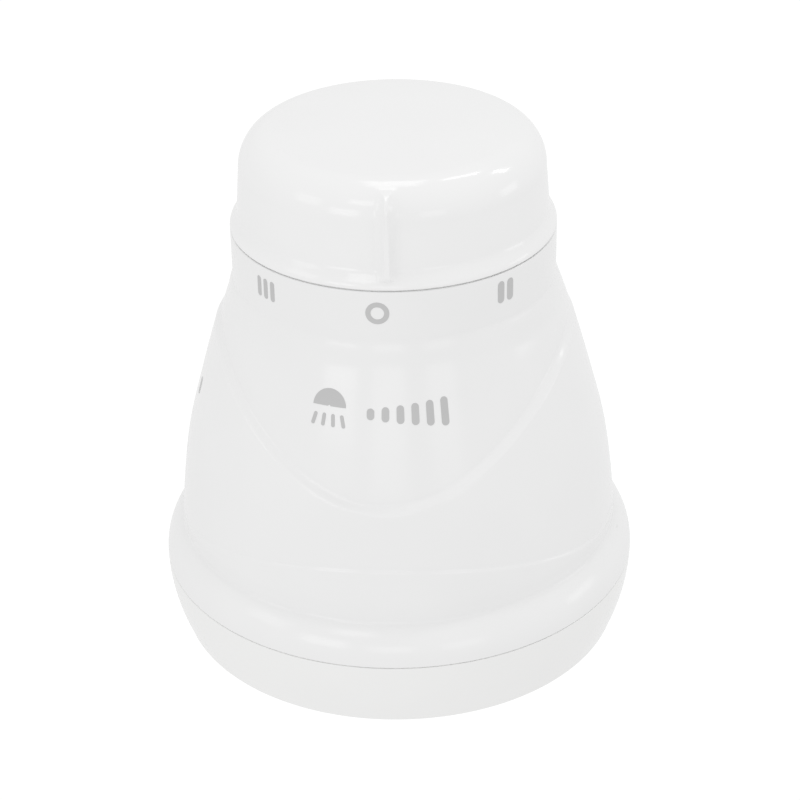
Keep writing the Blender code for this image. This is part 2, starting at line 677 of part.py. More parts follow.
def switch_base():
    low, high = BASE_Z
    half, corner = 18.8, 4.0
    outline = []
    for i, (x, y) in enumerate(((1, 1), (-1, 1), (-1, -1), (1, -1))):
        outline += arc(x * (half - corner), y * (half - corner), corner, 90 * i, 90 * i + 90, 4)
    base = place("switch_base", extruded("switch_base", outline, low, high, "Z"), BLACK, HOUSING)
    join(base, turned_helper("spring_cup", rod(8.0, high - 1.5, 98.0), STEPS_SMALL))
    cut(base, turned_helper("spring_pocket", rod(6.2, low - 3.0, 96.5), STEPS_SMALL))
    cut(base, helper("rivet_holes", cylinders("holes", [(-CONTACT_X, 0), (CONTACT_X, 0)], 1.7, 80.0, 99.0)))
    posts = [(x, y) for x in (-POST_XY, POST_XY) for y in (-POST_XY, POST_XY)]
    cut(base, helper("base_holes", cylinders("holes", posts, 1.5, 80.0, 99.0)))
    for i, (x, y) in enumerate(posts):
        outline = screw_outline(2.4, high + GAP, high + 2.2, 1.2, 78.5)
        turned(f"switch_screw_{i + 1}", outline, STEEL, HOUSING, STEPS_SCREW, (x, y, 0))
    for name, angle in (("low", -45.0), ("high", -135.0)):
        x, y = polar(14.0, angle)
        turned(f"selector_contact_{name}", rod(2.5, high + GAP, high + 1.6), SILVER, HOUSING, 14, (x, y, 0))


def selector():
    """Everything under the knob that turns with it, and the leaf that holds its three positions."""
    groove = [(SHAFT_R, 112.3), (4.1, 112.3), (4.1, 110.7), (SHAFT_R, 110.7)]
    shaft = [(0, 145.6), (SHAFT_R - 0.6, 145.6), (SHAFT_R, 145.0)] + groove + [(SHAFT_R, 99.0), (0, 99.0)]
    turned("selector_shaft", shaft, NATURAL, SELECTOR, STEPS_SMALL)
    cam = turned("selector_cam", ring(SHAFT_R + 0.3, 17.0, 101.0, 108.0), BLACK, SELECTOR, 40)
    join(cam, helper("stop_tab", boxes("stop_tab", [((0, -18.4, 105.0), (6.0, 5.4, 4.0), 0)])))
    notches = [polar(18.4, 90 + side * KNOB_TRAVEL) for side in (-1, 0, 1)]
    cut(cam, helper("detent_notches", cylinders("notches", notches, 2.4, 95.0, 112.0, 16)))
    strip = [(-9, 100.7), (-16.4, 100.7), (-16.4, 99.9), (-14.9, 94.7), (-13.4, 93.9)]
    strip += [(-12.6, 94.7), (-14.0, 95.4), (-15.4, 99.9), (-9, 99.9)]
    place("wiper_contact", extruded("wiper_contact", strip, -2.4, 2.4, "X"), BRASS, SELECTOR)
    clip_outline = arc(0, 0, 8.0, -150, 150, 15) + arc(0, 0, 4.4, 150, -150, 15)
    place("shaft_circlip", extruded("shaft_circlip", clip_outline, 111.0, 112.0, "Z"), STEEL, SELECTOR)
    turned("shaft_oring", arc(6.4, 119.2, 1.1, 360, 60, 6), RUBBER, HOUSING, STEPS_SMALL)
    leaf = [(20.4, 112.2), (20.4, 106.4), (17.4, 104.6), (20.4, 102.8), (20.4, 101.4)]
    leaf += [(21.2, 101.4), (21.2, 112.2)]
    place("detent_leaf", extruded("detent_leaf", leaf, -2.4, 2.4, "X"), STEEL, HOUSING)


def mains_entry():
    outline = [
        (GLAND_BORE_R, 71.0),
        (4.9, 71.0),
        (6.4, GLAND_FACE_Y + 2.6),
        (9.0, GLAND_FACE_Y + 2.2),
        (9.0, GLAND_FACE_Y + GAP),
        (5.7, GLAND_FACE_Y + GAP),
        (5.7, 53.7),
        (7.2, 53.7),
        (6.8, 51.8),
        (GLAND_BORE_R, 51.8),
    ]
    turned("wire_gland", outline, RUBBER, HOUSING, STEPS_SMALL, (0, 0, GLAND_Z), ALONG_Y)
    low, high = BLOCK_Z
    size = (BLOCK_X[1] - BLOCK_X[0], BLOCK_Y[1] - BLOCK_Y[0], high - low)
    middle = (0, sum(BLOCK_Y) / 2, (low + high) / 2)
    block = place("terminal_block", boxes("terminal_block", [(middle, size, 0)]), BLACK, HOUSING)
    screws = [(x, 49.0) for x in BLOCK_POLES]
    cut(block, helper("block_screw_holes", cylinders("holes", screws, 1.8, 43.0, 60.0)))
    ways = [(x, 44.0) for x in BLOCK_POLES]
    cut(block, helper("block_wire_holes", cylinders("holes", ways, 1.7, 44.0, 60.0)))
    for i, (x, y) in enumerate(screws):
        outline = screw_outline(2.4, high + GAP, high + 2.0, 1.4, 44.0)
        turned(f"terminal_screw_{i + 1}", outline, BRASS, HOUSING, STEPS_SCREW, (x, y, 0))


def lead_wires():
    """From the terminal block, round the inlet tower and over the chamber to the pins."""
    start = BLOCK_Z[1] - 5.0
    left = [(-11, 44, start), (-11, 44, 58), (-17, 43, 68), (-27, 34, 75)]
    left += [(-33, 14, 77), (-31, -4, 77), (-24.4, -8.9, 73.8)]
    right = [(11, 44, start), (11, 44, 58), (18, 42, 67), (31, 32, 73)]
    right += [(36, 8, 76), (29, -16, 77), (15, -25, 77), (6.7, -25.1, 73.8)]
    earth = [(0, 44, start), (0, 44.4, 57), (6, 45, 66), (16, 38, 72)]
    earth += [(23, 26, 75), (27, 14, 74), (24.4, 8.9, 71.8)]
    for i, route in enumerate((left, right, earth)):
        wire(f"lead_wire_{i + 1}", through(route, 2), 1.1, LEAD, HOUSING)


outer_pieces()
heating_chamber()
chamber_fasteners()
element_carrier()
heating_coil()
terminals()
flow_parts()
inlet()
flow_switch()
switch_base()
selector()
mains_entry()
lead_wires()
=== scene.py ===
import json
import math

import bmesh
import bpy
import numpy as np
from mathutils import Matrix, Vector

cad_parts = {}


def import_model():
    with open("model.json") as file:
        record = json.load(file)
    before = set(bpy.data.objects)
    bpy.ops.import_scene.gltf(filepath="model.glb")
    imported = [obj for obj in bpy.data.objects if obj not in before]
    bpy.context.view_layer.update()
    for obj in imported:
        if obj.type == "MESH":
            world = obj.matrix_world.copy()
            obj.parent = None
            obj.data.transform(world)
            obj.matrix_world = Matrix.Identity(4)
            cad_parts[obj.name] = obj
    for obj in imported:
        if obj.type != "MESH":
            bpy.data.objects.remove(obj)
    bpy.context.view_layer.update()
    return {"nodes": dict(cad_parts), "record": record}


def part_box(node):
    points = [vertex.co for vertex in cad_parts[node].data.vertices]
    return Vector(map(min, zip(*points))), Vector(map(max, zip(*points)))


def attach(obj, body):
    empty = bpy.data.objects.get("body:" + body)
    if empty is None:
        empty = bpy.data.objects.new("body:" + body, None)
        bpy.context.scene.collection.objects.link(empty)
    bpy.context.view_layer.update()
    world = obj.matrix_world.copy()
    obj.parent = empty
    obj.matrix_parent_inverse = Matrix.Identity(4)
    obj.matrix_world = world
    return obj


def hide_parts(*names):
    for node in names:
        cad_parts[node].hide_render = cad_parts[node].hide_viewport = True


# Looks of the electric shower head. Lengths are in millimetres and azimuths in degrees from the front
# (-Y), positive towards +X; the mesh helpers turn them into metres.

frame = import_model()
MM = 0.001


# ---- places that come from the frame ----
def corner(node, which, axis):
    """One coordinate of a CAD node's box, in mm: which is 0 for the lowest corner, 1 for the highest."""
    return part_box(node)[which][axis] / MM


def middle(node, axis):
    return (corner(node, 0, axis) + corner(node, 1, axis)) / 2


SEAM_Z = corner("spray_cover", 1, 2) + 0.1
FLANGE_R = corner("body_shell", 1, 0)
NECK_TOP_Z = corner("body_shell", 1, 2)
KNOB_SKIRT_Z = corner("control_knob", 0, 2)
KNOB_TOP_Z = corner("control_knob", 1, 2)
PIPE_Z = middle("inlet_pipe", 2)
SOCKET_END_Y = corner("inlet_pipe", 1, 1)
PIPE_START_Y = corner("inlet_pipe", 0, 1)
GLAND_Z = middle("wire_gland", 2)
GLAND_START_Y = corner("wire_gland", 0, 1)
GLAND_END_Y = corner("wire_gland", 1, 1)

# ---- the outer surface ----
NECK_R = 44.4
NECK_Z = 107.7  # lower edge of the band that carries the position marks
WALL = 2.6
HOOD = [(62.4, 31.6), (61.4, 44), (59.0, 60), (54.8, 76), (50.75, 90), (48.0, 99), (NECK_R, NECK_Z)]
BEAD_R = 13.9
BEAD_CENTRE = (FLANGE_R - BEAD_R, SEAM_Z + 0.2)
FILLET_R = 1.8  # between the bell and the bead
APRON_Z = 64.0  # lowest point of the recessed front apron
APRON_BEND = 0.0122  # its edge rises with the square of the distance from the middle
APRON_LEDGE = 1.2  # half the ledge's width
RECESS_AT = [0, 75, 90, 110]  # azimuths at which the apron's depth is given
RECESS_DEPTH = [1.4, 1.5, 1.0, 0.0]
ARCH_Z = 47.4  # the faint crease below the apron
ARCH_BEND = -0.0033
ARCH_LOWEST = 36.5
ARCH_STEP = 0.35
SEAM_GAP = 0.08  # half the visible gap between the housing and the cover
BAYONET_AZ = 135.0  # the first of four lugs and tabs
BAYONET_SPAN = 24.0
CHAMBER_BOSS_CIRCLE_R = 55.4
SOCKET_FLOOR_Y = SOCKET_END_Y - 22.0


def smoothstep(t):
    t = np.clip(t, 0.0, 1.0)
    return t * t * (3 - 2 * t)


def through(points, per_span):
    """A smooth curve (Catmull-Rom) through points of any dimension."""
    points = np.asarray(points, float)
    full = np.vstack([2 * points[0] - points[1], points, 2 * points[-1] - points[-2]])
    t = (np.arange(per_span) / per_span)[:, None]
    out = []
    for a, b, c, d in zip(full, full[1:], full[2:], full[3:]):
        square = 2 * a - 5 * b + 4 * c - d
        cube = 3 * b - a - 3 * c + d
        out.append(0.5 * (2 * b + (c - a) * t + square * t**2 + cube * t**3))
    return np.vstack([*out, points[-1]])


def arc(cx, cz, radius, start, end, count):
    """Points (radius, height) on an arc, angles in degrees from the +radius direction."""
    angles = np.radians(np.linspace(start, end, count))
    return [(cx + radius * math.cos(a), cz + radius * math.sin(a)) for a in angles]


HOOD_CURVE = through(HOOD, 16)


def hood_radius(z):
    return np.interp(z, HOOD_CURVE[:, 1], HOOD_CURVE[:, 0])


def front_azimuth(az):
    """Azimuth brought to -180..180, in degrees."""
    return (np.asarray(az, float) + 180.0) % 360.0 - 180.0


def edge_height(az, base, bend):
    """Height of a line on the bell that rises or falls with the square of x, held level behind the sides."""
    side = np.radians(np.minimum(np.abs(front_azimuth(az)), 90.0))
    z = np.full_like(side, base)
    for _ in range(40):
        z = base + bend * (hood_radius(z) * np.sin(side)) ** 2
    return z


def edge_stretch(az, z):
    """How much longer the ledge is measured upright than across it."""
    side = np.abs(front_azimuth(az))
    turn = np.radians(side)
    rise = 2 * APRON_BEND * hood_radius(z) * np.sin(turn) * np.cos(turn)
    slope = np.where(side < 90, rise, 0)
    return np.sqrt(1 + slope**2)


def surface_radius(az, z):
    """The bell's outside: the hood less the apron's recess, plus the faint step below the arch."""
    side = np.abs(front_azimuth(az))
    apron = edge_height(az, APRON_Z, APRON_BEND)
    half = APRON_LEDGE * edge_stretch(az, apron)
    depth = np.interp(side, RECESS_AT, RECESS_DEPTH)
    recess = depth * smoothstep((z - apron + half) / (2 * half)) * smoothstep((NECK_Z - z) / 8.7)
    arch = np.maximum(edge_height(az, ARCH_Z, ARCH_BEND), ARCH_LOWEST)
    proud = ARCH_STEP * smoothstep((arch + 0.5 - z) / 1.0) * smoothstep((z - 33.6) / 4.0)
    proud = proud * smoothstep((125 - side) / 45)
    return hood_radius(z) - recess + proud


# ---- mesh helpers ----
def new_object(name, mesh, body, material):
    made = bpy.data.objects.new(name, mesh)
    bpy.context.scene.collection.objects.link(made)
    made.data.materials.append(material)
    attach(made, body)
    return made


def finish_mesh(name, verts, faces, sharp=35.0):
    """A clean smooth-shaded mesh from points in mm."""
    mesh = bpy.data.meshes.new(name)
    mesh.from_pydata((np.asarray(verts, float) * MM).tolist(), [], [list(f) for f in faces])
    bm = bmesh.new()
    bm.from_mesh(mesh)
    bmesh.ops.remove_doubles(bm, verts=bm.verts, dist=0.0000005)
    bmesh.ops.dissolve_degenerate(bm, edges=bm.edges, dist=0.0000005)
    bmesh.ops.recalc_face_normals(bm, faces=bm.faces)
    bm.to_mesh(mesh)
    bm.free()
    mesh.shade_smooth()
    mesh.set_sharp_from_angle(angle=math.radians(sharp))
    return mesh


def grid_faces(rows, across, closed):
    """Faces over a grid of rings; closed joins the last ring to the first."""
    i = np.arange(rows if closed else rows - 1)[:, None]
    j = np.arange(across)[None, :]
    below = (i + 1) % rows
    beside = (j + 1) % across
    quads = np.stack([i * across + j, i * across + beside, below * across + beside, below * across + j], -1)
    return quads.reshape(-1, 4).tolist()


def skin(name, rings, closed, sharp=35.0):
    """A mesh over rings of points (rows, columns, xyz) in mm."""
    rings = np.asarray(rings, float)
    faces = grid_faces(rings.shape[0], rings.shape[1], closed)
    return finish_mesh(name, rings.reshape(-1, 3), faces, sharp)


def rings_of(radii, heights, azimuths):
    """Rings about the upright axis from arrays (rows, columns) of radius and height."""
    a = np.radians(np.asarray(azimuths, float))[None, :]
    radii, heights = np.broadcast_arrays(np.asarray(radii, float), np.asarray(heights, float))
    return np.stack([radii * np.sin(a), -radii * np.cos(a), heights], -1)


def turned(name, section, steps=180, closed=True, sharp=35.0):
    """A turned mesh; section is (radius, height)."""
    section = np.asarray(section, float)
    azimuths = np.arange(steps) * 360.0 / steps
    shape = (len(section), steps)
    radii = np.broadcast_to(section[:, :1], shape)
    heights = np.broadcast_to(section[:, 1:], shape)
    return skin(name, rings_of(radii, heights, azimuths), closed, sharp)


def laid_along_y(mesh, z):
    """Turns a mesh made upright so that its +Z runs along +Y, at height z."""
    mesh.transform(Matrix.Translation((0, 0, z * MM)) @ Matrix.Rotation(math.radians(-90), 4, "X"))
    return mesh


def rounded(points, radius, steps=4):
    """Rounds the corners of a closed section by up to the given radius."""
    out = []
    count = len(points)
    for i, here in enumerate(points):
        before, after = Vector(points[i - 1]), Vector(points[(i + 1) % count])
        here = Vector(here)
        back, on = before - here, after - here
        reach = min(radius, back.length * 0.45, on.length * 0.45)
        start, end = here + back.normalized() * reach, here + on.normalized() * reach
        for k in range(steps + 1):
            t = k / steps
            out.append(tuple((1 - t) ** 2 * start + 2 * t * (1 - t) * here + t**2 * end))
    return out


# ---- materials ----
def node(tree, kind, **values):
    made = tree.nodes.new(kind)
    for name, value in values.items():
        if hasattr(made, name):
            setattr(made, name, value)
        else:
            made.inputs[name.replace("_", " ")].default_value = value
    return made


def surface(
    name, colour, roughness, metallic=0.0, tint=0.02, spread=0.04, grain=900.0, bump=0.02, brushed=None
):
    """A moulded or machined surface: colour and roughness drift a little, and a fine grain lifts it."""
    made = bpy.data.materials.new(name)
    made.use_nodes = True
    tree = made.node_tree
    shader = tree.nodes["Principled BSDF"]
    shader.inputs["Metallic"].default_value = metallic
    shader.inputs["IOR"].default_value = 1.49
    place = node(tree, "ShaderNodeTexCoord")
    stretch = node(tree, "ShaderNodeMapping")
    if brushed:
        stretch.inputs["Scale"].default_value = brushed
    tree.links.new(place.outputs["Object"], stretch.inputs["Vector"])
    drift = node(tree, "ShaderNodeTexNoise", Scale=38.0, Detail=3.0)
    fine = node(tree, "ShaderNodeTexNoise", Scale=grain, Detail=2.0)
    tree.links.new(stretch.outputs["Vector"], drift.inputs["Vector"])
    tree.links.new(stretch.outputs["Vector"], fine.inputs["Vector"])
    shade = node(tree, "ShaderNodeValToRGB")
    low = [max(0.0, c * (1 - tint)) for c in colour]
    high = [min(1.0, c * (1 + tint)) for c in colour]
    shade.color_ramp.elements[0].color = (*low, 1)
    shade.color_ramp.elements[1].color = (*high, 1)
    shade.color_ramp.elements[0].position = 0.3
    shade.color_ramp.elements[1].position = 0.7
    tree.links.new(drift.outputs["Fac"], shade.inputs["Fac"])
    tree.links.new(shade.outputs["Color"], shader.inputs["Base Color"])
    matt = node(tree, "ShaderNodeMapRange")
    matt.inputs["To Min"].default_value = roughness - spread
    matt.inputs["To Max"].default_value = roughness + spread
    tree.links.new(fine.outputs["Fac"], matt.inputs["Value"])
    tree.links.new(matt.outputs["Result"], shader.inputs["Roughness"])
    lift = node(tree, "ShaderNodeBump", Strength=bump)
    lift.inputs["Distance"].default_value = 0.0002
    tree.links.new(fine.outputs["Fac"], lift.inputs["Height"])
    tree.links.new(lift.outputs["Normal"], shader.inputs["Normal"])
    return made


MATERIALS = {
    "housing_white": surface("housing_gloss_white", (0.85, 0.85, 0.85), 0.18, tint=0.006, bump=0.004),
    "cover_white": surface("cover_gloss_white", (0.86, 0.86, 0.855), 0.2, tint=0.006, bump=0.004),
    "knob_white": surface("knob_gloss_white", (0.87, 0.87, 0.87), 0.14, tint=0.005, bump=0.003),
    "pipe_white": surface("pipe_gloss_white", (0.82, 0.82, 0.815), 0.27, tint=0.01, bump=0.006),
    "natural_nylon": surface("natural_nylon", (0.76, 0.73, 0.65), 0.45, tint=0.04, bump=0.08),
    "chamber_plastic": surface("chamber_grey", (0.5, 0.51, 0.51), 0.5, tint=0.05, bump=0.12),
    "black_phenolic": surface("black_phenolic", (0.035, 0.032, 0.03), 0.42, tint=0.2, bump=0.12),
    "black_rubber": surface("black_rubber", (0.025, 0.025, 0.026), 0.72, tint=0.25, bump=0.25, grain=1600.0),
    "silicone": surface("red_silicone", (0.55, 0.12, 0.07), 0.55, tint=0.06, bump=0.1),
    "brass": surface(
        "machined_brass", (0.78, 0.57, 0.24), 0.3, 1.0, tint=0.08, spread=0.1, brushed=(1, 1, 0.1)
    ),
    "contact_silver": surface("silver_contact", (0.83, 0.82, 0.79), 0.28, 1.0, tint=0.06, spread=0.08),
    "zinc_steel": surface("zinc_plated_steel", (0.62, 0.63, 0.62), 0.34, 1.0, tint=0.1, spread=0.1),
    "nichrome": surface("resistance_wire", (0.36, 0.33, 0.31), 0.45, 1.0, tint=0.15, spread=0.1),
    "lead_insulation": surface("lead_insulation", (0.05, 0.14, 0.42), 0.42, tint=0.06, bump=0.1),
}
PRINT_GREY = surface("printed_grey", (0.53, 0.53, 0.53), 0.42, tint=0.03, bump=0.05)


def dress_cad_nodes():
    """Every CAD node takes its slot's material; the replaced ones are hidden afterwards."""
    for part in frame["record"]["subparts"]:
        obj = frame["nodes"][part["node"]]
        obj.data.materials.clear()
        obj.data.materials.append(MATERIALS[part["material_slot"]])


# ---- bell housing ----
def fillet_centre():
    """Height and radius of the fillet's centre: it touches the bell's wall and the bead."""
    low, high = BEAD_CENTRE[1], BEAD_CENTRE[1] + BEAD_R + FILLET_R
    for _ in range(50):
        z = (low + high) / 2
        r = hood_radius(z) + FILLET_R
        if math.hypot(r - BEAD_CENTRE[0], z - BEAD_CENTRE[1]) > BEAD_R + FILLET_R:
            high = z
        else:
            low = z
    return r, z


def flange_section():
    """From the end of the bell's wall over the fillet and the bead to the seam's rounded edge."""
    r, z = fillet_centre()
    meets = math.degrees(math.atan2(z - BEAD_CENTRE[1], r - BEAD_CENTRE[0]))
    fillet = arc(r, z, FILLET_R, 180, 180 + meets, 9)[1:]
    bead = arc(*BEAD_CENTRE, BEAD_R, meets, 2.0, 30)[1:]
    edge = 0.3
    lip = arc(FLANGE_R - edge, SEAM_Z + SEAM_GAP + edge, edge, 0, -90, 5)
    return fillet + bead + lip


def housing_inside():
    """The section's hidden side: seam groove, spigot, inner wall, shaft deck and rim under the knob."""
    lip_r = FLANGE_R - 0.5
    groove = [(lip_r, SEAM_Z + SEAM_GAP), (lip_r, SEAM_Z - 0.9), (lip_r - 0.9, SEAM_Z - 0.9)]
    groove += [(lip_r - 0.9, SEAM_Z + 1.0), (FLANGE_R - 2.4, SEAM_Z + 1.0), (63.4, 27.5)]
    spigot = [(61.5, 27.5), (61.5, 12.0), (59.3, 12.0), (59.3, 36.0)]
    wall = [(hood_radius(z) - WALL, z) for z in np.linspace(40, NECK_Z - 3, 24)]
    neck = NECK_R - WALL
    bore = 5.35
    deck = [(neck, NECK_Z), (neck, 112.5), (bore, 112.5), (bore, 117.5), (7.8, 117.5), (7.8, 121.0)]
    deck += [(10.0, 121.0), (10.0, 115.0), (neck, 115.0), (neck, NECK_TOP_Z - 0.5)]
    rim = [(NECK_R - 1.6, NECK_TOP_Z), (NECK_R - 1.6, NECK_TOP_Z + 0.9)]
    rim += [(NECK_R - 0.7, NECK_TOP_Z + 0.9), (NECK_R - 0.7, NECK_TOP_Z)]
    return groove + spigot + wall + deck + rim


def bell_housing():
    azimuths = np.arange(360.0)
    apron = edge_height(azimuths, APRON_Z, APRON_BEND)
    reach = 2 * APRON_LEDGE * edge_stretch(azimuths, apron)
    arch = np.maximum(edge_height(azimuths, ARCH_Z, ARCH_BEND), ARCH_LOWEST)
    wall_end = np.full_like(azimuths, fillet_centre()[1])
    bands = [
        (np.full_like(azimuths, NECK_Z), apron + reach, 24),
        (apron + reach, apron - reach, 22),
        (apron - reach, arch + 1.2, 16),
        (arch + 1.2, arch - 1.2, 8),
        (arch - 1.2, wall_end, 8),
    ]
    heights = []
    for start, end, count in bands:
        for k in range(count):
            heights.append(start + (end - start) * k / count)
    heights.append(wall_end)
    heights = np.array(heights)
    radii = surface_radius(azimuths[None, :], heights)
    neck = arc(NECK_R - 0.4, NECK_TOP_Z - 0.4, 0.4, 90, 0, 5)
    neck += [(NECK_R, z) for z in np.linspace(NECK_TOP_Z - 2, NECK_Z + 1.2, 6)]
    neck += [(NECK_R, NECK_Z + 0.3)]
    after = flange_section() + housing_inside()

    def plain(section):
        section = np.array(section)
        shape = (len(section), len(azimuths))
        return np.broadcast_to(section[:, :1], shape), np.broadcast_to(section[:, 1:], shape)

    neck_r, neck_z = plain(neck)
    after_r, after_z = plain(after)
    rings = rings_of(np.vstack([neck_r, radii, after_r]), np.vstack([neck_z, heights, after_z]), azimuths)
    mesh = skin("bell_housing", rings, True, 40)
    housing = new_object("bell_housing", mesh, "housing", MATERIALS["housing_white"])
    for name, radius, z in (("pipe_way", 11.0, PIPE_Z), ("gland_way", 6.0, GLAND_Z)):
        drill(housing, name, radius, z)
    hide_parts("body_shell")


def drill(target, name, radius, z):
    """Cuts a round hole along +Y through the rear wall."""
    outside, inside = 75.0, 40.0
    section = [(0, outside), (radius, outside), (radius, inside), (0, inside)]
    tool = bpy.data.objects.new(name, laid_along_y(turned(name, section, 48, False), z))
    bpy.context.scene.collection.objects.link(tool)
    cut = target.modifiers.new(name, "BOOLEAN")
    cut.operation = "DIFFERENCE"
    cut.object = tool
    apply_modifiers(target)
    bpy.data.objects.remove(tool)


def apply_modifiers(obj):
    mesh = bpy.data.meshes.new_from_object(obj.evaluated_get(bpy.context.evaluated_depsgraph_get()))
    obj.modifiers.clear()
    obj.data = mesh


def rear_boss(name, radius, bore, face_y, z, flare, back_y):
    """A round boss that grows out of the rear wall with a fillet; its face is flat with a round hole."""
    around = np.radians(np.arange(0, 360, 3.0))

    def wall_y(rho):
        x, height = rho * np.cos(around), z + rho * np.sin(around)
        return np.sqrt(hood_radius(height) ** 2 - x**2)

    room = np.minimum(flare, 0.45 * (face_y - wall_y(radius)))
    rings = []

    def ring(rho, y):
        rho = np.broadcast_to(rho, around.shape)
        y = np.broadcast_to(y, around.shape)
        rings.append(np.stack([rho * np.cos(around), y, z + rho * np.sin(around)], -1))

    ring(radius + room, wall_y(radius + room) - 0.6)
    for a in np.radians(np.linspace(0, 90, 9)):
        rho = radius + room * (1 - math.sin(a))
        ring(rho, wall_y(rho) + room * (1 - math.cos(a)))
    edge = np.minimum(0.8, 0.5 * room + 0.05)
    for a in np.radians(np.linspace(0, 90, 6)):
        ring(radius - edge * (1 - math.cos(a)), face_y - edge * (1 - math.sin(a)))
    ring(bore + 0.4, face_y)
    ring(bore, face_y - 0.4)
    ring(bore, back_y)
    ring(radius - 1.0, back_y)
    mesh = skin(name, np.array(rings), True, 40)
    return new_object(name, mesh, "housing", MATERIALS["housing_white"])


def housing_details():
    rear_boss("inlet_boss", 15.5, 11.1, 58.8, PIPE_Z, 2.6, 47.0)
    rear_boss("gland_boss", 10.5, 5.9, 60.5, GLAND_Z, 1.5, 54.0)
    for i in range(4):
        angle = BAYONET_AZ + 90.0 * i
        lug = sector_block(f"bayonet_lug_{i + 1}", 61.3, 63.6, angle, BAYONET_SPAN, 13.0, 15.4)
        new_object(lug.name, lug, "housing", MATERIALS["housing_white"])
        section = rounded([(2.0, 18.2), (4.4, 18.2), (4.4, 40.0), (2.0, 40.0)], 0.4)
        boss = turned(f"chamber_boss_{i + 1}", section, 28)
        x = CHAMBER_BOSS_CIRCLE_R * math.sin(math.radians(angle))
        y = -CHAMBER_BOSS_CIRCLE_R * math.cos(math.radians(angle))
        boss.transform(Matrix.Translation((x * MM, y * MM, 0)))
        new_object(boss.name, boss, "housing", MATERIALS["housing_white"])
    tick = sector_block("flange_tick", FLANGE_R - 5.6, FLANGE_R - 3.4, 82.0, 0.9, 28.9, 30.4, 0.25)
    new_object("flange_tick", tick, "housing", MATERIALS["housing_white"])


def sector_block(name, inner, outer, middle_az, span, low, high, edge=0.5):
    """A block bent round the axis, with rounded edges."""
    section = rounded([(inner, low), (outer, low), (outer, high), (inner, high)], edge, 3)
    angles = np.linspace(middle_az - span / 2, middle_az + span / 2, max(4, int(span)))
    rows = []
    for a in np.radians(angles):
        rows.append([(r * math.sin(a), -r * math.cos(a), z) for r, z in section])
    rows = np.array(rows)
    count = rows.shape[1]
    faces = grid_faces(rows.shape[0], count, False)
    faces.append(list(range(count)))
    faces.append(list(range(rows.shape[0] * count - 1, (rows.shape[0] - 1) * count - 1, -1)))
    return finish_mesh(name, rows.reshape(-1, 3), faces)


# ---- spray cover ----
FACE_R = 62.9
PLATE_R = 46.0
COLLAR = (48.6, 51.2)  # inner and outer radius of the ring that stands inside the cover
HOLE_RINGS = 7
HOLE_SPACING = 6.0


def cover_radius(z):
    return FLANGE_R - (FLANGE_R - FACE_R - 0.1) * (1 - z / SEAM_Z) ** 2


def spray_cap():
    top = SEAM_Z - SEAM_GAP
    edge = 0.3
    bottom = 1.3
    skirt = [(cover_radius(z), z) for z in np.linspace(top - edge, bottom, 26)]
    upper = [(FLANGE_R - 0.46, top - 1.2), (FLANGE_R - 0.46, top)]
    upper += arc(cover_radius(top) - edge, top - edge, edge, 90, 0, 5)[:-1]
    heel_r = cover_radius(bottom)
    heel = arc(heel_r - bottom, bottom, bottom, 0, -90, 9)[1:]
    rim = rounded([(PLATE_R + 3.0, 0.0), (PLATE_R + 2.0, 0.9), (PLATE_R, 0.9), (PLATE_R, 2.4)], 0.3)[:-1]
    inside = [(COLLAR[0], 2.4), (COLLAR[0], 12.3), (COLLAR[1], 12.3), (COLLAR[1], 2.4)]
    inside += [(58.0, 2.4), (61.0, 4.0)]
    wall = [(cover_radius(z) - WALL, z) for z in (9.0, 12.0, 15.0, 18.0, top - 1.2)]
    section = upper + skirt + heel + rim + inside + wall
    mesh = turned("spray_cap", section, 240, True, 38)
    cap = new_object("spray_cap", mesh, "cover", MATERIALS["cover_white"])
    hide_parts("spray_cover")
    for i in range(4):
        angle = BAYONET_AZ + 90.0 * i
        outer = cover_radius(17.0) - 1.4
        tab = sector_block(f"bayonet_tab_{i + 1}", 62.1, outer, angle, BAYONET_SPAN, 15.8, 18.2)
        new_object(tab.name, tab, "cover", MATERIALS["cover_white"])


def spray_plate():
    """The spray face: a flat disc with rings of small round holes."""
    outlines = [(0.0, 0.0, PLATE_R - 0.15, 120)]
    for k in range(HOLE_RINGS):
        count = max(1, 6 * k)
        for i in range(count):
            a = 2 * math.pi * (i + 0.5 * (k % 2)) / count
            outlines.append((k * HOLE_SPACING * math.cos(a), k * HOLE_SPACING * math.sin(a), 0.6, 14))
    curve = bpy.data.curves.new("spray_plate", "CURVE")
    curve.dimensions = "2D"
    curve.fill_mode = "BOTH"
    curve.extrude = 0.75 * MM
    curve.bevel_depth = 0.12 * MM
    curve.bevel_resolution = 1
    for x, y, radius, steps in outlines:
        line = curve.splines.new("POLY")
        line.points.add(steps - 1)
        line.use_cyclic_u = True
        for i, point in enumerate(line.points):
            a = 2 * math.pi * i / steps
            point.co = ((x + radius * math.cos(a)) * MM, (y + radius * math.sin(a)) * MM, 0, 1)
    holder = bpy.data.objects.new("spray_plate_outline", curve)
    bpy.context.scene.collection.objects.link(holder)
    mesh = bpy.data.meshes.new_from_object(holder.evaluated_get(bpy.context.evaluated_depsgraph_get()))
    bpy.data.objects.remove(holder)
    mesh.transform(Matrix.Translation((0, 0, 1.4 * MM)))
    bm = bmesh.new()
    bm.from_mesh(mesh)
    bmesh.ops.remove_doubles(bm, verts=bm.verts, dist=0.000001)
    bmesh.ops.recalc_face_normals(bm, faces=bm.faces)
    bm.to_mesh(mesh)
    bm.free()
    mesh.materials.clear()
    new_object("spray_plate", mesh, "cover", MATERIALS["cover_white"])


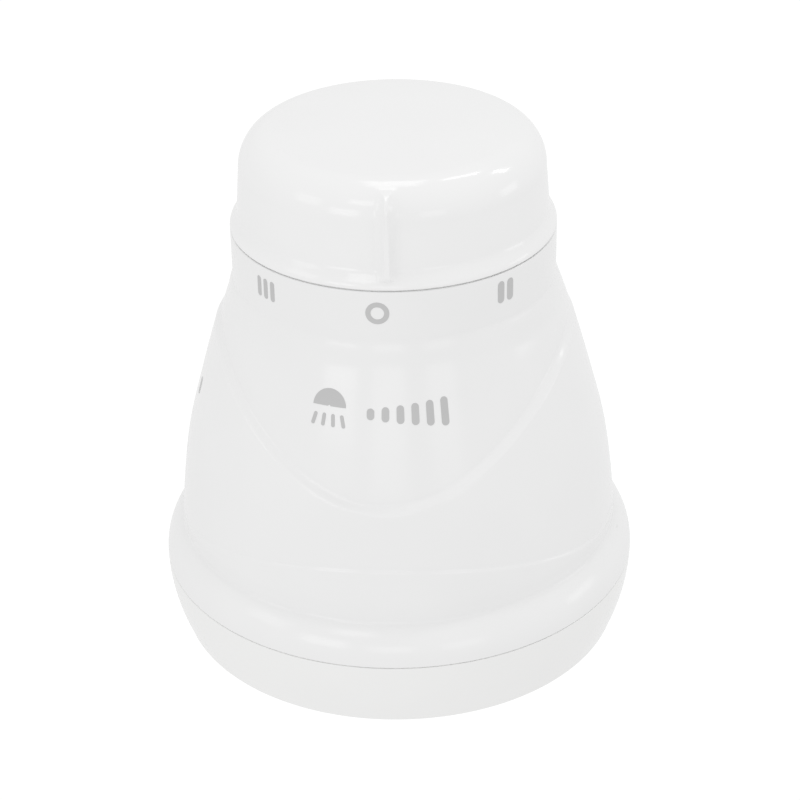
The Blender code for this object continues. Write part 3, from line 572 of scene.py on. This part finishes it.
# ---- knob ----
KNOB_Z = NECK_TOP_Z + 0.3
LIP_R = 44.4
LIP_TOP_Z = 127.0
SIDE_R = (42.3, 41.4)
SHOULDER_Z = 138.6
SHOULDER = (8.7, 9.75)
CROWN = KNOB_TOP_Z - SHOULDER_Z - SHOULDER[1]
RIB_AZ = 2.0
RIB_LINE = [(33.0, 149.05), (42.7, 145.0), (44.3, 124.8)]  # the rib's ridge: top, corner and foot
RIB_SOFT = 3.0  # how far from its corner the ridge starts to bend
RIB_FLANK = 2.0  # power that hollows the rib's flanks
RIB_TIP = 0.74  # where along the roof its two edges meet
RIB_BASE = (5.1, 3.4)  # half width at the top and on the side
RIB_ROOF = (4.9, 0.35)  # half width of the flat roof at its start and at its tip


def crown_height(radius):
    return CROWN * (1 - (radius / SIDE_R[1]) ** 2)


def knob_outside():
    """From the centre of the top to the lip's lower edge."""
    across = np.linspace(0.0, SIDE_R[1] - SHOULDER[0], 16)
    top = [(r, SHOULDER_Z + SHOULDER[1] + crown_height(r)) for r in across]
    shoulder = []
    for a in np.radians(np.linspace(90, 0, 34))[1:]:
        r = SIDE_R[1] - SHOULDER[0] + SHOULDER[0] * math.cos(a)
        shoulder.append((r, SHOULDER_Z + SHOULDER[1] * math.sin(a) + crown_height(r)))
    side = []
    for t in np.linspace(0, 1, 12)[1:]:
        r = SIDE_R[1] + (SIDE_R[0] - SIDE_R[1]) * t
        side.append((r, SHOULDER_Z + (LIP_TOP_Z - SHOULDER_Z) * t))
    lip = []
    edge = 0.5
    for t in np.linspace(0, 1, 16)[1:]:
        z = LIP_TOP_Z + (KNOB_Z + edge - LIP_TOP_Z) * t
        lip.append((SIDE_R[0] + (LIP_R - SIDE_R[0]) * float(smoothstep(t * 0.95 + 0.05)), z))
    return top + shoulder + side + lip + arc(LIP_R - edge, KNOB_Z + edge, edge, 0, -90, 6)[1:]


def rib_height(section):
    """How far the rib's ridge stands off each point of the section, and the section's outward normals."""
    section = np.array(section)
    tangent = np.gradient(section, axis=0)
    normal = np.stack([-tangent[:, 1], tangent[:, 0]], -1)
    normal /= np.linalg.norm(normal, axis=1)[:, None] + 1e-12
    a, b, c = (np.array(p) for p in RIB_LINE)
    back = b + (a - b) / np.linalg.norm(a - b) * RIB_SOFT
    on = b + (c - b) / np.linalg.norm(c - b) * RIB_SOFT
    t = np.linspace(0, 1, 8)[:, None]
    ridge = np.vstack([a, (1 - t) ** 2 * back + 2 * t * (1 - t) * b + t**2 * on, c])
    heights = np.zeros(len(section))
    for i, (point, way) in enumerate(zip(section, normal)):
        if way[0] < 0:
            way = -way
            normal[i] = way
        for p, q in zip(ridge, ridge[1:]):
            step = q - p
            det = way[0] * -step[1] + way[1] * step[0]
            if abs(det) < 1e-9:
                continue
            gap = p - point
            h = (gap[0] * -step[1] + gap[1] * step[0]) / det
            s = (way[0] * gap[1] - way[1] * gap[0]) / det
            if -0.001 <= s <= 1.001 and -0.05 <= h < 6:
                heights[i] = max(heights[i], h)
    return heights, normal


def knob_cap():
    outside = knob_outside()
    heights, normal = rib_height(outside)
    section = np.array(outside)
    near = np.concatenate([np.arange(-16, -9, 1.0), np.arange(-9, 9.01, 0.2), np.arange(10, 17, 1.0)])
    rest = np.arange(18.0, 344.0, 1.5)
    azimuths = np.concatenate([near, rest]) + RIB_AZ
    offset = front_azimuth(azimuths - RIB_AZ)
    beyond_top = np.hypot(*(section - np.array(RIB_LINE[0])).T)
    roof_length = np.hypot(*(np.array(RIB_LINE[1]) - np.array(RIB_LINE[0])))
    roof = np.clip(beyond_top / roof_length / RIB_TIP, 0, 1)
    down = np.clip((RIB_LINE[1][1] - section[:, 1]) / (RIB_LINE[1][1] - RIB_LINE[2][1]), 0, 1)
    base = RIB_BASE[0] + (RIB_BASE[1] - RIB_BASE[0]) * roof
    narrowing = RIB_ROOF[0] + (RIB_ROOF[1] - RIB_ROOF[0]) * roof
    flat = np.where(roof < 1, narrowing, RIB_ROOF[1] + 0.35 * down)
    across = np.abs(np.radians(offset))[None, :] * np.maximum(section[:, :1], 1.0)
    share = np.clip((base[:, None] - across) / (base - flat)[:, None], 0, 1) ** RIB_FLANK
    push = heights[:, None] * share
    radii = section[:, :1] + normal[:, :1] * push
    tall = section[:, 1:] + normal[:, 1:] * push
    inner = SIDE_R[1] - 2.4
    inside = [
        (NECK_R - 0.5, KNOB_Z),
        (NECK_R - 0.5, KNOB_Z + 0.9),
        (41.2, KNOB_Z + 0.9),
        (41.2, KNOB_SKIRT_Z),
        (39.2, KNOB_SKIRT_Z),
        (39.2, 124.0),
        (inner, SHOULDER_Z),
        (inner - 2.0, SHOULDER_Z + 5.0),
        (inner - 6.5, SHOULDER_Z + SHOULDER[1] - 2.0),
        (7.6, SHOULDER_Z + SHOULDER[1] - 1.0),
        (7.6, KNOB_Z + 0.8),
        (5.3, KNOB_Z + 0.8),
        (5.3, 146.0),
        (0.0, 146.0),
    ]
    inside = np.array(inside)
    shape = (len(inside), len(azimuths))
    radii = np.vstack([radii, np.broadcast_to(inside[:, :1], shape)])
    tall = np.vstack([tall, np.broadcast_to(inside[:, 1:], shape)])
    mesh = skin("knob_cap", rings_of(radii, tall, azimuths), False, 50)
    cap = new_object("knob_cap", mesh, "selector", MATERIALS["knob_white"])
    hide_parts("control_knob")


# ---- inlet ----
def inlet_tube():
    """The pipe with its fluted grip socket and the inside thread, made upright and laid along +Y."""
    around = np.arange(0, 360, 4.0)
    low, high = SOCKET_FLOOR_Y, SOCKET_END_Y
    outer_r, pipe_r, bore_r, socket_r = 14.0, 10.6, 6.2, 10.5
    rows = []

    def plain(r, z):
        rows.append((np.full_like(around, r), z))

    for r, z in ((socket_r + 0.6, high), (outer_r - 0.9, high)):
        plain(r, z)
    for r, z in arc(outer_r - 0.9, high - 0.9, 0.9, 90, 0, 5)[1:]:
        plain(r, z)
    grip = 0.35 * (0.5 - 0.5 * np.cos(np.radians(around * 15)))
    for z, depth in ((high - 2.4, 0), (high - 3.2, 1), (low + 4.0, 1), (low + 3.2, 0)):
        rows.append((outer_r - grip * depth, z))
    for r, z in through([(outer_r, low + 0.5), (13.4, low - 2.0), (11.4, low - 5.0), (pipe_r, low - 7.0)], 5):
        plain(r, z)
    hidden = [(pipe_r, 46.6), (8.8, 46.6), (8.8, 44.6), (pipe_r, 44.6), (pipe_r, 43.4), (9.4, 43.4)]
    hidden += [(9.4, 41.2), (7.6, 41.2), (7.6, 38.6), (9.4, 38.6), (9.4, PIPE_START_Y)]
    hidden += [(bore_r, PIPE_START_Y), (bore_r, low), (socket_r, low), (socket_r, low + 2.9)]
    for r, z in hidden:
        plain(r, z)
    pitch = 1.814
    for z in np.arange(low + 3.0, high - 0.7, pitch / 8):
        phase = (z / pitch + around / 360.0) % 1.0
        crest = np.clip(1.3 * (1 - np.abs(2 * phase - 1)) - 0.15, 0, 1)
        fade = float(smoothstep((z - low - 3.0) / 2.5) * smoothstep((high - z - 0.7) / 1.8))
        rows.append((socket_r - 0.95 * crest * fade, z))
    radii = np.array([r for r, z in rows])
    heights = np.array([np.full_like(around, z) for r, z in rows])
    mesh = laid_along_y(skin("inlet_tube", rings_of(radii, heights, around), True, 40), PIPE_Z)
    tube = new_object("inlet_tube", mesh, "housing", MATERIALS["pipe_white"])
    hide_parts("inlet_pipe")


def socket_washer():
    low = SOCKET_FLOOR_Y + 0.3
    section = rounded([(6.9, low), (10.2, low), (10.2, low + 2.2), (6.9, low + 2.2)], 0.4)
    mesh = laid_along_y(turned("socket_washer", section, 64), PIPE_Z)
    washer = new_object("socket_washer", mesh, "housing", MATERIALS["black_rubber"])
    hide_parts("inlet_washer")


def strainer():
    """A domed wire mesh in a rim, in place of the drilled disc."""
    low = SOCKET_FLOOR_Y + 0.3
    radius, wires = 6.0, 9
    section = rounded([(5.6, low), (6.6, low), (6.6, low + 1.2), (5.6, low + 1.2)], 0.25)
    mesh = laid_along_y(turned("strainer_rim", section, 48), PIPE_Z)
    rim = new_object("strainer_rim", mesh, "housing", MATERIALS["zinc_steel"])
    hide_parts("inlet_strainer")
    curve = bpy.data.curves.new("strainer_mesh", "CURVE")
    curve.dimensions = "3D"
    curve.bevel_depth = 0.16 * MM
    curve.bevel_resolution = 1
    for turn in (0, 1):
        for k in range(wires):
            at = radius * (2 * (k + 0.5) / wires - 1)
            half = math.sqrt(radius**2 - at**2)
            line = curve.splines.new("POLY")
            line.points.add(12)
            for i, point in enumerate(line.points):
                along = half * (2 * i / 12 - 1)
                weave = 0.12 * math.cos(math.pi * (i + k + turn))
                x, z = (along, at) if turn else (at, along)
                dome = 0.5 * (1 - (x * x + z * z) / radius**2)
                point.co = (x * MM, (low + 0.4 + weave + dome) * MM, (PIPE_Z + z) * MM, 1)
    holder = bpy.data.objects.new("strainer_wires", curve)
    bpy.context.scene.collection.objects.link(holder)
    mesh = bpy.data.meshes.new_from_object(holder.evaluated_get(bpy.context.evaluated_depsgraph_get()))
    bpy.data.objects.remove(holder)
    mesh.materials.clear()
    mesh.shade_smooth()
    new_object("strainer_mesh", mesh, "housing", MATERIALS["zinc_steel"])


def cable_gland():
    bore, face = 3.2, 60.5
    ribs = []
    for k in range(4):
        y = GLAND_END_Y - 1.4 - 1.9 * k
        size = 4.9 + (6.2 - 4.9) * (k + 0.5) / 4
        ribs += [(size, y), (size - 0.5, y - 0.7), (size - 0.5, y - 1.1), (size + 0.1, y - 1.5)]
    head = [(bore, GLAND_END_Y), (4.7, GLAND_END_Y)] + ribs
    foot = [(6.4, face + 2.6), (9.0, face + 2.2), (9.0, face + 0.3), (5.6, face + 0.3)]
    foot += [(5.6, 53.7), (7.2, 53.7)]
    section = rounded(head + foot + [(6.8, GLAND_START_Y), (bore, GLAND_START_Y)], 0.25, 3)
    mesh = laid_along_y(turned("cable_gland", section, 72), GLAND_Z)
    gland = new_object("cable_gland", mesh, "housing", MATERIALS["black_rubber"])
    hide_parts("wire_gland")


# ---- printed marks ----
PRINT_LIFT = 0.05


def print_shape(name, patches, az, z, radius_at):
    """Thin print that follows the surface. A patch is a grid of (across, up) rows about the mark's centre."""
    verts, faces = [], []
    for grid in patches:
        grid = np.asarray(grid, float)
        rows, count = grid.shape[:2]
        height = z + grid[..., 1]
        turn = az + np.degrees(grid[..., 0] / radius_at(np.full(1, az), np.full(1, z))[0])
        for lift in (PRINT_LIFT, -0.2):
            start = len(verts)
            r = radius_at(turn, height) + lift
            a = np.radians(turn)
            verts += np.stack([r * np.sin(a), -r * np.cos(a), height], -1).reshape(-1, 3).tolist()
            for i in range(rows - 1):
                for j in range(count - 1):
                    k = start + i * count + j
                    faces.append([k, k + 1, k + count + 1, k + count])
        rim = [(0, j) for j in range(count)] + [(i, count - 1) for i in range(1, rows)]
        rim += [(rows - 1, j) for j in range(count - 2, -1, -1)] + [(i, 0) for i in range(rows - 2, 0, -1)]
        base = len(verts) - 2 * rows * count
        for (i, j), (m, n) in zip(rim, rim[1:] + rim[:1]):
            a, b = base + i * count + j, base + m * count + n
            faces.append([a, b, b + rows * count, a + rows * count])
    mesh = finish_mesh(name, verts, faces)
    return new_object(name, mesh, "housing", PRINT_GREY)


def bar_patch(x, y, width, height, tilt=0.0):
    """A bar with round ends, standing upright and leaning by tilt degrees."""
    end = width / 2 * (1 - np.cos(np.linspace(0.15, math.pi / 2, 7)))
    levels = np.concatenate([-height / 2 + end, [0.0]])
    levels = np.concatenate([levels, -levels[-2::-1]])
    grid = []
    for level in levels:
        into = max(0.0, width / 2 - (height / 2 - abs(level)))
        half = math.sqrt(max((width / 2) ** 2 - into**2, 1e-4))
        grid.append([(half * s, level) for s in (-1, -0.33, 0.33, 1)])
    turn = Matrix.Rotation(math.radians(tilt), 2)
    return [[tuple(turn @ Vector(p) + Vector((x, y))) for p in row] for row in grid]


def ring_patches(inner, outer, start=0.0, end=360.0, x=0.0, y=0.0, parts=8):
    """A ring or a sector of one, as several patches."""
    out = []
    bounds = np.linspace(start, end, parts + 1)
    for low, high in zip(bounds, bounds[1:]):
        grid = []
        for radius in np.linspace(inner, outer, 4):
            angles = np.radians(np.linspace(low, high, 9))
            grid.append([(x + radius * math.cos(a), y + radius * math.sin(a)) for a in angles])
        out.append(grid)
    return out


def neck_radius(az, z):
    return np.full(np.broadcast(az, z).shape, NECK_R)


def marks():
    print_shape("mark_off", ring_patches(1.75, 3.1), -1.4, 115.6, neck_radius)
    print_shape("mark_warm", [bar_patch(x, 0, 2.2, 6.3) for x in (-1.6, 1.6)], 45.0, 116.3, neck_radius)
    print_shape("mark_hot", [bar_patch(x, 0, 1.6, 5.8) for x in (-2.7, 0, 2.7)], -45.0, 115.6, neck_radius)
    spray = ring_patches(0.3, 4.6, 0, 180, -14.2, 1.0, 4)
    for k in range(4):
        spray.append(bar_patch(-14.2 + (k - 1.5) * 2.6, -2.6, 1.0, 3.4, (k - 1.5) * 9.0))
    for k in range(6):
        spray.append(bar_patch(-3.0 + k * 3.9, 0.0, 2.0, 3.0 + 0.9 * k))
    print_shape("mark_spray", spray, 0.0, 88.8, surface_radius)
    print_shape("mark_side", [bar_patch(0, 0, 2.2, 5.0)], -78.6, 75.0, surface_radius)


# ---- camera, floor, light ----
CAMERA_AZ = 4.5
CAMERA_DISTANCE = 549.32
CAMERA_HEIGHT = 374.13
CAMERA_YAW = 0.0975
CAMERA_PITCH = -29.35
CAMERA_ROLL = -1.009
LENS = 99.717
FLOOR_GLOW = 0.88  # what the floor sends to the object
FLOOR_SEEN = 1.05  # what the camera sees of it, pure white
WORLD_LIGHT = 0.84


def camera():
    data = bpy.data.cameras.new("camera")
    data.lens = LENS
    data.sensor_width = 36.0
    data.clip_start, data.clip_end = 0.01, 20.0
    made = bpy.data.objects.new("camera", data)
    bpy.context.scene.collection.objects.link(made)
    yaw, pitch = math.radians(CAMERA_YAW), math.radians(CAMERA_PITCH)
    look = Vector((math.sin(yaw) * math.cos(pitch), math.cos(yaw) * math.cos(pitch), math.sin(pitch)))
    aim = look.to_track_quat("-Z", "Y").to_matrix() @ Matrix.Rotation(math.radians(CAMERA_ROLL), 3, "Z")
    spin = Matrix.Rotation(math.radians(CAMERA_AZ), 3, "Z")
    at = spin @ Vector((0, -CAMERA_DISTANCE, CAMERA_HEIGHT)) * MM
    made.matrix_world = Matrix.Translation(at) @ (spin @ aim).to_4x4()
    bpy.context.scene.camera = made


def floor():
    mesh = bpy.data.meshes.new("floor")
    size = 6.0
    corners = [(-size, -size, 0), (size, -size, 0), (size, size, 0), (-size, size, 0)]
    mesh.from_pydata(corners, [], [(0, 1, 2, 3)])
    made = bpy.data.objects.new("floor", mesh)
    made.location.z = -0.0006
    bpy.context.scene.collection.objects.link(made)
    material = bpy.data.materials.new("floor_white")
    material.use_nodes = True
    tree = material.node_tree
    tree.nodes.clear()
    out = node(tree, "ShaderNodeOutputMaterial")
    glow = node(tree, "ShaderNodeEmission")
    path = node(tree, "ShaderNodeLightPath")
    level = node(tree, "ShaderNodeMapRange")
    level.inputs["To Min"].default_value = FLOOR_GLOW
    level.inputs["To Max"].default_value = FLOOR_SEEN
    tree.links.new(path.outputs["Is Camera Ray"], level.inputs["Value"])
    tree.links.new(level.outputs["Result"], glow.inputs["Strength"])
    clear = node(tree, "ShaderNodeBsdfTransparent")
    side = node(tree, "ShaderNodeNewGeometry")
    mix = node(tree, "ShaderNodeMixShader")
    tree.links.new(side.outputs["Backfacing"], mix.inputs[0])
    tree.links.new(glow.outputs[0], mix.inputs[1])
    tree.links.new(clear.outputs[0], mix.inputs[2])
    tree.links.new(mix.outputs[0], out.inputs["Surface"])
    material.cycles.emission_sampling = "NONE"
    mesh.materials.append(material)


# Soft boxes: name, azimuth, elevation, distance (m), width and height (m), radiance
SOFT_BOXES = [
    ("top", 180.0, 85.0, 1.3, 0.45, 0.45, 2.0),
    ("left", -60.0, 20.0, 1.3, 0.42, 0.42, 0.8),
    ("front_low_left", -30.0, 9.0, 1.3, 0.45, 0.35, 1.4),
    ("front_low", 0.0, 6.0, 1.3, 0.45, 0.3, 0.9),
    ("front_low_right", 32.0, 5.0, 1.3, 0.4, 0.3, 0.7),
    ("front_high", -20.0, 36.0, 1.3, 0.35, 0.25, 1.5),
    ("right_low", 95.0, 5.0, 1.3, 0.4, 0.3, 1.0),
    ("window_high", 120.0, 63.0, 1.3, 0.08, 0.34, 8.0),
    ("window_low", 112.0, 39.0, 1.3, 0.08, 0.28, 8.0),
]


def soft_box(name, az, elevation, distance, width, height, radiance):
    data = bpy.data.lights.new(name, "AREA")
    data.shape = "RECTANGLE"
    data.size, data.size_y = width, height
    data.energy = radiance * math.pi * width * height
    made = bpy.data.objects.new("light_" + name, data)
    bpy.context.scene.collection.objects.link(made)
    a, e = math.radians(az), math.radians(elevation)
    way = Vector((math.sin(a) * math.cos(e), -math.cos(a) * math.cos(e), math.sin(e)))
    made.location = Vector((0, 0, 0.08)) + way * distance
    made.rotation_mode = "QUATERNION"
    made.rotation_quaternion = way.to_track_quat("Z", "Y")
    made.visible_camera = False


def world():
    made = bpy.data.worlds.new("studio")
    bpy.context.scene.world = made
    made.use_nodes = True
    tree = made.node_tree
    tree.nodes.clear()
    out = node(tree, "ShaderNodeOutputWorld")
    seen = node(tree, "ShaderNodeBackground", Strength=1.0)
    light = node(tree, "ShaderNodeBackground", Strength=WORLD_LIGHT)
    path = node(tree, "ShaderNodeLightPath")
    mix = node(tree, "ShaderNodeMixShader")
    tree.links.new(path.outputs["Is Camera Ray"], mix.inputs[0])
    tree.links.new(light.outputs[0], mix.inputs[1])
    tree.links.new(seen.outputs[0], mix.inputs[2])
    tree.links.new(mix.outputs[0], out.inputs["Surface"])
    seen.inputs["Color"].default_value = (1, 1, 1, 1)
    light.inputs["Color"].default_value = (1, 1, 1, 1)
    bpy.context.scene.view_settings.view_transform = "Standard"


camera()
floor()
world()
for box in SOFT_BOXES:
    soft_box(*box)
dress_cad_nodes()
bell_housing()
housing_details()
spray_cap()
spray_plate()
knob_cap()
inlet_tube()
socket_washer()
strainer()
cable_gland()
marks()
